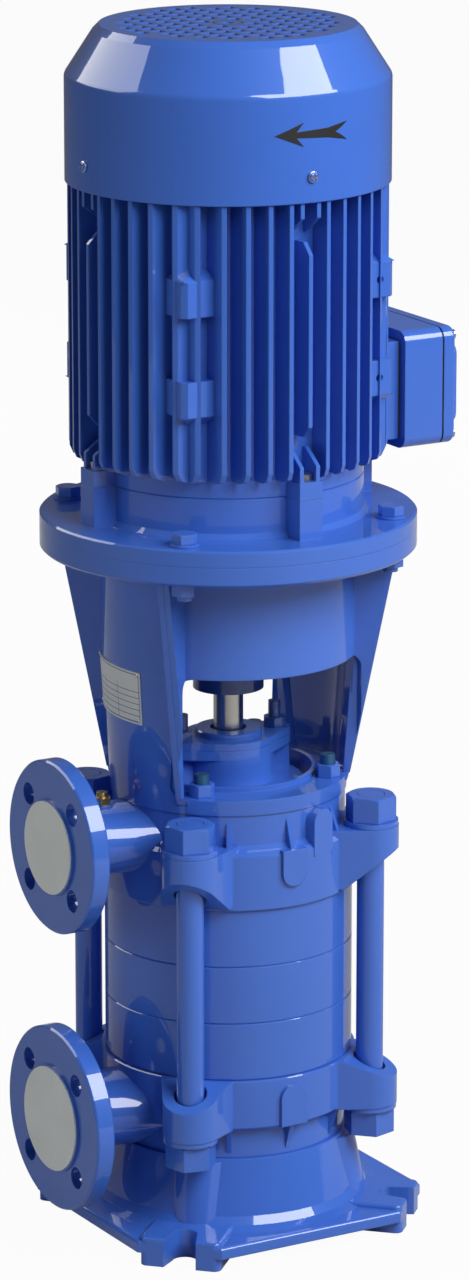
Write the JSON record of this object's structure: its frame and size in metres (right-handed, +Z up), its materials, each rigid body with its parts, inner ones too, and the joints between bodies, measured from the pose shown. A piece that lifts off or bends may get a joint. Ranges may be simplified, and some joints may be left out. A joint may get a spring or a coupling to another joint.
{
  "type": "vertical multistage pump",
  "caption": "Vertical multistage pump: stacked stage casings between inlet and outlet castings, tie rods, windowed lantern and finned flange motor.",
  "frame": {"origin": "on the shaft axis at floor level, between the four corner pads of the foot", "axes": "+Z up along the shaft; both pipe flanges face -X; the terminal box faces +X"},
  "size_m": [0.3468, 0.3, 0.9735],
  "materials": {
    "blue_paint": "gloss enamel on casting",
    "stainless": "ground",
    "steel": "machined",
    "bronze": "turned",
    "brass": "turned",
    "copper": "varnished wire",
    "rubber": "matte",
    "cover_grey": "satin",
    "plate_metal": "satin",
    "zinc_teal": "passivated zinc",
    "black_plastic": "moulded",
    "ceramic": "lapped",
    "cast_iron": "as cast"
  },
  "bodies": {
    "pump_casing": {"base_foot": "blue_paint", "bottom_bush": "bronze", "cable_gland": "black_plastic", "cowl_screws": "steel", "diffuser_1": "cast_iron", "diffuser_2": "cast_iron", "diffuser_3": "cast_iron", "discharge_casing": "blue_paint", "discharge_flange_cover": "cover_grey", "drive_end_bearing_outer": "steel", "drive_end_shield": "blue_paint", "fan_cowl": "blue_paint", "flange_bolts": "steel", "flange_nuts": "steel", "flange_washers": "stainless", "gland_nuts": "blue_paint", "gland_plate": "blue_paint", "gland_studs": "zinc_teal", "lantern": "blue_paint", "lantern_nuts": "blue_paint", "lantern_studs": "zinc_teal", "lid_screws": "steel", "motor_frame": "blue_paint", "nameplate": "plate_metal", "rear_bearing_outer": "steel", "rear_shield": "blue_paint", "seal_housing": "blue_paint", "seal_seat": "ceramic", "shield_bolts": "steel", "stage_casing_1": "blue_paint", "stage_casing_2": "blue_paint", "stage_casing_3": "blue_paint", "stator_core": "steel", "stator_windings": "copper", "suction_casing": "blue_paint", "suction_flange_cover": "cover_grey", "terminal_block": "black_plastic", "terminal_box": "blue_paint", "terminal_box_gaskets": "rubber", "terminal_box_lid": "blue_paint", "tie_rod_nuts_lower": "blue_paint", "tie_rod_nuts_upper": "blue_paint", "tie_rod_washers": "blue_paint", "tie_rods": "blue_paint", "vent_plug": "brass"},
    "pump_rotor": {"pump_shaft": "stainless", "impeller_1": "cast_iron", "impeller_2": "cast_iron", "impeller_3": "cast_iron", "impeller_spacers": "stainless", "shaft_nut": "stainless", "seal_head": "stainless", "pump_coupling_hub": "blue_paint", "coupling_spider": "rubber"},
    "motor_rotor": {"motor_shaft": "steel", "rotor_core": "steel", "cooling_fan": "black_plastic", "motor_coupling_hub": "blue_paint", "drive_end_bearing_inner": "steel", "rear_bearing_inner": "steel"}
  },
  "joints": [
    {"name": "motor_rotor_spin", "type": "hinge", "parent": "pump_casing", "child": "motor_rotor", "pos_m": [0, 0, 0.7], "axis": [0, 0, 1], "continuous": true},
    {"name": "pump_rotor_spin", "type": "hinge", "parent": "pump_casing", "child": "pump_rotor", "pos_m": [0, 0, 0.3], "axis": [0, 0, 1], "continuous": true}
  ],
  "couplings": [
    {"joint": "pump_rotor_spin", "follows": "motor_rotor_spin", "ratio": 1}
  ]
}
